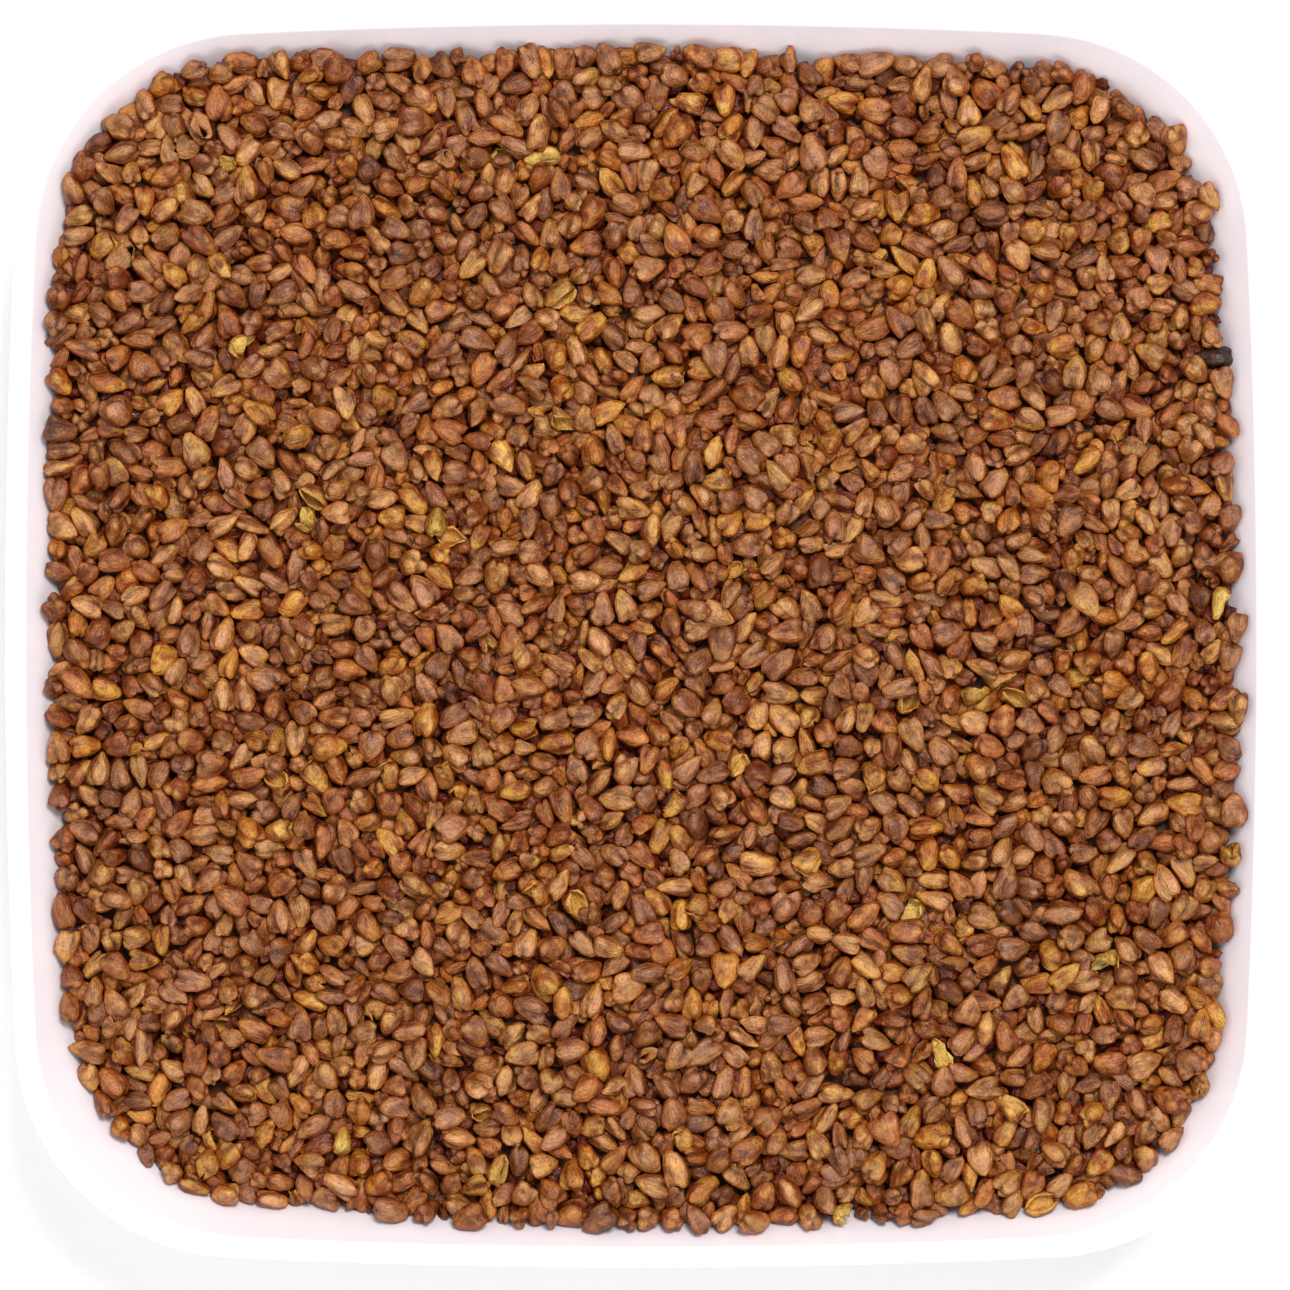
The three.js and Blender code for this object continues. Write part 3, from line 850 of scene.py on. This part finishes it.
def roasted_skin():
    """The shared effect: colour, roughness and wrinkle height, from what each kernel's points know."""
    tree = bpy.data.node_groups.new("roasted skin", "ShaderNodeTree")
    new_sockets(tree, "INPUT", Color=["Shade", "Lobe", "Toasted"], Float=["Toasting"])
    new_sockets(tree, "OUTPUT", Color=["Colour"], Float=["Roughness", "Wrinkles"])
    given, out = tree.nodes.new("NodeGroupInput").outputs, tree.nodes.new("NodeGroupOutput").inputs
    plus, minus, times, _ = sums(tree)

    def known(label, kind="Fac"):
        return place(tree, "ShaderNodeAttribute", attribute_name=label).outputs[kind]

    tone, furrow = known("tone"), known("furrow")
    shift = vector(tree, "SCALE", OWN_SHIFT, tone)
    spot = vector(tree, "ADD", known("kernel_place", "Vector"), shift)
    far = vector(tree, "ADD", spot, FAR_SHIFT)
    long = vector(tree, "MULTIPLY", spot, STRETCH)
    own = place(tree, "ShaderNodeTexWhiteNoise", {"W": tone}, noise_dimensions="1D").outputs["Color"]
    own = place(tree, "ShaderNodeSeparateColor", {0: own}).outputs  # three numbers of the kernel's own
    patches, toasts = noise(tree, spot, PATCHES, 1.0), noise(tree, far, PATCHES, 1.0)
    streaks, specks = noise(tree, long, STREAKS, 2.0), noise(tree, far, SPECKS, 1.0)

    # Random patches mix the darker and paler colours, and the furrows take the darker one as painted shade.
    lobes = minus(plus(patches, times(own[0], 0.3)), times(furrow, 0.6))
    colour = blend(tree, spread(tree, lobes, 0.45, 0.75), given["Shade"], given["Lobe"])
    tip = spread(tree, known("along"), 0.55, 1.0, 0.0, 0.25)
    toasted = plus(plus(toasts, tip), times(own[1], 0.14))
    toasted = times(spread(tree, toasted, 0.56, 0.78), given["Toasting"])
    colour = blend(tree, calc(tree, "MAXIMUM", toasted, known("lining")), colour, given["Toasted"])
    for value, low, high, at_low, at_high in (
            (streaks, 0.3, 0.7, 0.79, 1.21),
            (specks, 0.3, 0.7, 0.82, 1.16),
            (own[2], 0.0, 1.0, 0.82, 1.14),  # some kernels are darker all over
            (furrow, 0.15, 0.45, 1.0, 0.6),  # painted shade in the furrows
            (furrow, 0.0, 0.07, 1.16, 1.0)):  # and the backs of the lobes paler
        colour = vector(tree, "SCALE", colour, spread(tree, value, low, high, at_low, at_high))
    # Painted shade: faces that look sideways or down, and kernels sunk low in the heap, are painted darker
    # and redder.
    edge = calc(tree, "MAXIMUM", spread(tree, known("looks_up"), 0.85, 0.15), times(known("sunk"), 0.6))
    colour = vector(tree, "MULTIPLY", colour, blend(tree, edge, (1, 1, 1, 1), PAINTED_SHADE_TINT))
    tree.links.new(colour, out["Colour"])
    tree.links.new(spread(tree, specks, 0.3, 0.7, 0.25, 0.58), out["Roughness"])
    wrinkles = plus(plus(streaks, times(specks, 0.7)), times(noise(tree, long, FOLDS, 0.0), 3.0))
    tree.links.new(wrinkles, out["Wrinkles"])
    return tree


skin = roasted_skin()


def ink(red, green, blue):
    """A colour as a screen shows it, from 0 to 255, as the shader takes it."""
    parts = np.array([red, green, blue]) / 255
    return (*np.where(parts <= 0.04045, parts / 12.92, ((parts + 0.055) / 1.055) ** 2.4), 1)


def roasted(name, shade, lobe, toasted, toasting):
    material, tree, shader = new_material(name)
    group = place(tree, "ShaderNodeGroup", node_tree=skin)
    feed(tree, group, {
        "Shade": ink(*shade), "Lobe": ink(*lobe), "Toasted": ink(*toasted), "Toasting": toasting})
    feed(tree, shader, {
        "Base Color": group.outputs["Colour"], "Roughness": group.outputs["Roughness"],
        "Normal": relief(tree, group.outputs["Wrinkles"], 0.9, SKIN_DEPTH), "Specular IOR Level": 0.36})
    return material


# ---- loose kernels ----
# The kernels that show, each where it settled, sorted by how the roasting left them, with the ones that
# barely show put apart and painted darker and redder as painted shade. One tree sets the shapes down
# there, crumples them a little so that no two are alike, and gives them skin.

SORT_SEED = 31
CRUMPLE, CRUMPLE_SPACING = 0.3 * MM, 1.3 * MM
ACROSS_SIZES, ALONG_SIZES = (0.91, 1.08), (0.95, 1.07)
DEEP_SEEN, CLEARLY_SEEN = 20, 70  # pixels from above
BURNT_PLACE = (67 * MM, 32.4 * MM)


def scatter_tree():
    tree, given, out = new_tree("kernels on their places", Collection=["Shapes"],
                                Float=["Crumple", "Crumple spacing", "Cells"])
    _, _, times, over = sums(tree)

    def told(label, kind="FLOAT_VECTOR"):
        known = place(tree, "GeometryNodeInputNamedAttribute", {"Name": label}, data_type=kind)
        return known.outputs["Attribute"]

    shapes = place(tree, "GeometryNodeCollectionInfo", {
        "Collection": given["Shapes"], "Separate Children": True, "Reset Children": True})
    turn = place(tree, "FunctionNodeEulerToRotation", {0: told("turn")})
    laid = place(tree, "GeometryNodeInstanceOnPoints", {
        "Points": given["Geometry"], "Instance": shapes.outputs[0], "Pick Instance": True,
        "Instance Index": told("shape", "INT"), "Rotation": turn.outputs[0], "Scale": told("size")})
    real = place(tree, "GeometryNodeRealizeInstances", {"Geometry": laid.outputs[0]})
    spot = place(tree, "GeometryNodeInputPosition").outputs[0]
    crush = noise(tree, spot, over(1.0, given["Crumple spacing"]), 1.0, "Color")
    crush = vector(tree, "SUBTRACT", crush, (0.5, 0.5, 0.5))
    crush = vector(tree, "SCALE", crush, times(given["Crumple"], 2.0))
    crumpled = place(tree, "GeometryNodeSetPosition", {"Geometry": real.outputs[0], "Offset": crush})
    share = vector(tree, "MULTIPLY", told("unwrap"), (0.9, 0.9, 0.0))
    share = vector(tree, "ADD", share, told("cell"))
    share = vector(tree, "SCALE", share, over(1.0, given["Cells"]))
    mapped = place(tree, "GeometryNodeStoreNamedAttribute", {
        "Geometry": crumpled.outputs[0], "Name": "OFBake", "Value": share},
        data_type="FLOAT2", domain="CORNER")
    # The upward share of each point's normal, kept for the skin's painted shade on faces that look sideways
    # or down.
    normal = place(tree, "GeometryNodeInputNormal").outputs[0]
    looks_up = place(tree, "ShaderNodeSeparateXYZ", {0: normal}).outputs["Z"]
    plain = place(tree, "GeometryNodeStoreNamedAttribute", {
        "Geometry": mapped.outputs[0], "Name": "looks_up", "Value": looks_up},
        data_type="FLOAT", domain="POINT")
    for label in ("unwrap", "cell", "turn", "size", "shape"):
        plain = place(tree, "GeometryNodeRemoveAttribute", {"Geometry": plain.outputs[0], "Name": label})
    finish_tree(tree, plain.outputs[0], given["Material"], out)
    return tree


def turns_towards(tip, spin):
    """Euler angles that point a kernel's tip this way, rolled about itself by spin."""
    helper = np.where(np.abs(tip[:, 2:]) > 0.9, np.array([[1.0, 0, 0]]), np.array([[0, 0, 1.0]]))
    side = np.cross(helper, tip)
    side /= np.linalg.norm(side, axis=1)[:, None]
    other = np.cross(tip, side)
    first = side * np.cos(spin)[:, None] + other * np.sin(spin)[:, None]
    second = np.cross(tip, first)
    return np.stack([np.arctan2(second[:, 2], tip[:, 2]), -np.arcsin(np.clip(first[:, 2], -1, 1)),
                     np.arctan2(first[:, 1], first[:, 0])], 1)


scatter = scatter_tree()


def lay_kernels(name, shapes, material, places, tips, sizes, sunk, rng):
    """One piece: a kernel of these shapes at each place."""
    count = len(places)
    cells = math.ceil(math.sqrt(count))
    piece = new_object(name, places)
    numbers = np.arange(count)
    told = {
        "turn": turns_towards(tips, rng.uniform(0, 2 * math.pi, count)), "size": sizes,
        "cell": np.stack([numbers % cells + 0.05, numbers // cells + 0.05, 0 * numbers], 1),
        "shape": rng.integers(0, len(shapes.objects), count), "sunk": sunk, "tone": rng.random(count)}
    for label, values in told.items():
        tell(piece.data, label, values)
    run_tree(piece, scatter, {"Shapes": shapes, "Crumple": CRUMPLE, "Crumple spacing": CRUMPLE_SPACING,
                              "Cells": float(cells), "Material": material})
    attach(piece, "root")
    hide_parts("buckwheat")


SORTS = (
    # the piece, its share of the kernels in plain sight, their shapes, and the skin: its darker colour, which
    # also fills the furrows as painted shade, its paler colour on the lobes, where it is toasted, as a screen
    # shows them, and how much it is toasted
    # the kernels that barely show get a darker, redder skin than the rest: painted shade
    ("deep_kernels", 0, deep_shapes, (86, 30, 4), (112, 50, 14), (118, 60, 17), 0.6),
    ("fawn_kernels", 0.28, whole_shapes, (123, 69, 27), (171, 121, 79), (185, 137, 66), 0.7),
    ("mauve_kernels", 0.24, whole_shapes, (111, 60, 31), (153, 103, 71), (174, 123, 64), 0.5),
    ("russet_kernels", 0.25, whole_shapes, (107, 49, 14), (150, 90, 50), (173, 116, 53), 0.7),
    ("amber_kernels", 0.13, whole_shapes, (126, 59, 11), (163, 103, 42), (183, 138, 58), 0.8),
    ("scorched_kernels", 0.04, whole_shapes, (80, 38, 17), (122, 74, 46), (148, 98, 50), 0.5),
    ("split_kernels", 0.035, split_shapes, (106, 52, 18), (157, 105, 50), (192, 145, 68), 0.9),
    ("broken_kernels", 0.019, broken_shapes, (108, 56, 22), (150, 99, 50), (158, 104, 52), 0.6),
    ("husk_flakes", 0.006, husk_shapes, (134, 92, 30), (180, 144, 68), (194, 164, 80), 0.8),
    ("burnt_kernel", 0, whole_shapes, (32, 19, 15), (52, 34, 26), (70, 42, 28), 0.4))

rng = np.random.default_rng(SORT_SEED)
places, tips, lengths, girths, show = (values[kept] for values in (centre, tip, length, girth, from_above))
sizes = np.stack([lengths * girths * rng.uniform(*ACROSS_SIZES, len(places)),
                  lengths * girths * rng.uniform(*ACROSS_SIZES, len(places)),
                  lengths * rng.uniform(*ALONG_SIZES, len(places))], 1)
draw = rng.random(len(places))
# Kernels that barely show from above get painted shade: the deepest take the darker, redder deep skin, and
# sunk sets how much darker and redder each skin is painted.
deep = show <= DEEP_SEEN
sunk = np.clip((CLEARLY_SEEN - show) / (CLEARLY_SEEN - DEEP_SEEN), 0, 1)
sort = np.searchsorted(np.cumsum([row[1] for row in SORTS]), draw, side="right")
sort[deep] = 0
from_burnt = np.hypot(places[:, 0] - BURNT_PLACE[0], places[:, 1] - BURNT_PLACE[1])
sort[np.argmin(from_burnt + deep)] = len(SORTS) - 1
for number, (name, _, shapes, *look) in enumerate(SORTS):
    chosen = sort == number
    material = roasted(name.split("_")[0] + " skin", *look)
    lay_kernels(name, shapes, material, places[chosen], tips[chosen], sizes[chosen], sunk[chosen], rng)
for group in (whole_shapes, deep_shapes, split_shapes, husk_shapes, broken_shapes):
    for thing in list(group.objects):
        mesh = thing.data
        bpy.data.objects.remove(thing)
        bpy.data.meshes.remove(mesh)
    bpy.data.collections.remove(group)


# ---- studio ----
# A plain white table in a white room, under a large soft light from the far right and weaker ones from
# the left and the near side.

VIEW_WIDTH = 151.9 * MM  # what the picture is wide at the height of the brim
VIEW_CENTRE = (0.45 * MM, -1.1 * MM)
VIEW_DISTANCE = 760 * MM  # from the brim
SENSOR = 36.0  # millimetres, as Blender counts it
TABLE_HALF = 3.0
ROOM_LIGHT = 0.55
HEAP_MIDDLE = np.array([0, 0, 0.03])


def white_table():
    corners = np.array([(-1, -1, 0), (1, -1, 0), (1, 1, 0), (-1, 1, 0)]) * TABLE_HALF
    floor = new_object("white_table", corners, [(0, 1, 2, 3)])
    material, tree, shader = new_material("white table")
    feed(tree, shader, {"Base Color": (0.93, 0.93, 0.93, 1), "Roughness": 0.6,
                        "Emission Color": (1, 1, 1, 1), "Emission Strength": 0.05})
    floor.data.materials.append(material)


def soft_light(name, spot, size, watts, colour):
    """A round light that faces the middle of the heap."""
    data = bpy.data.lights.new(name, "AREA")
    data.shape = "DISK"
    data.size = size
    data.energy = watts
    data.color = colour
    lamp = bpy.data.objects.new(name, data)
    lamp.location = spot
    x, y, z = spot - HEAP_MIDDLE
    lamp.rotation_euler = (math.atan2(math.hypot(x, y), z), 0, math.atan2(x, -y))
    bpy.context.scene.collection.objects.link(lamp)


def overhead_camera():
    data = bpy.data.cameras.new("overhead camera")
    data.sensor_width = SENSOR
    data.lens = SENSOR * VIEW_DISTANCE / VIEW_WIDTH
    camera = bpy.data.objects.new("overhead camera", data)
    camera.location = (VIEW_CENTRE[0], VIEW_CENTRE[1], DISH_HEIGHT + VIEW_DISTANCE)
    bpy.context.scene.collection.objects.link(camera)
    bpy.context.scene.camera = camera


def white_room():
    world = bpy.data.worlds.new("white room")
    world.use_nodes = True
    feed(world.node_tree, world.node_tree.nodes["Background"], {
        "Color": (1, 1, 1, 1), "Strength": ROOM_LIGHT})
    bpy.context.scene.world = world
    bpy.context.scene.view_settings.view_transform = "Standard"


white_table()
overhead_camera()
soft_light("key", spot=(0.15, 0.3, 0.97), size=0.3, watts=8.8, colour=(1.0, 0.985, 0.99))
soft_light("fill", spot=(-0.45, -0.12, 0.9), size=0.8, watts=2.2, colour=(0.99, 0.985, 1.0))
soft_light("near fill", spot=(0.12, -0.7, 0.75), size=0.6, watts=2.1, colour=(1.0, 0.98, 0.99))
white_room()
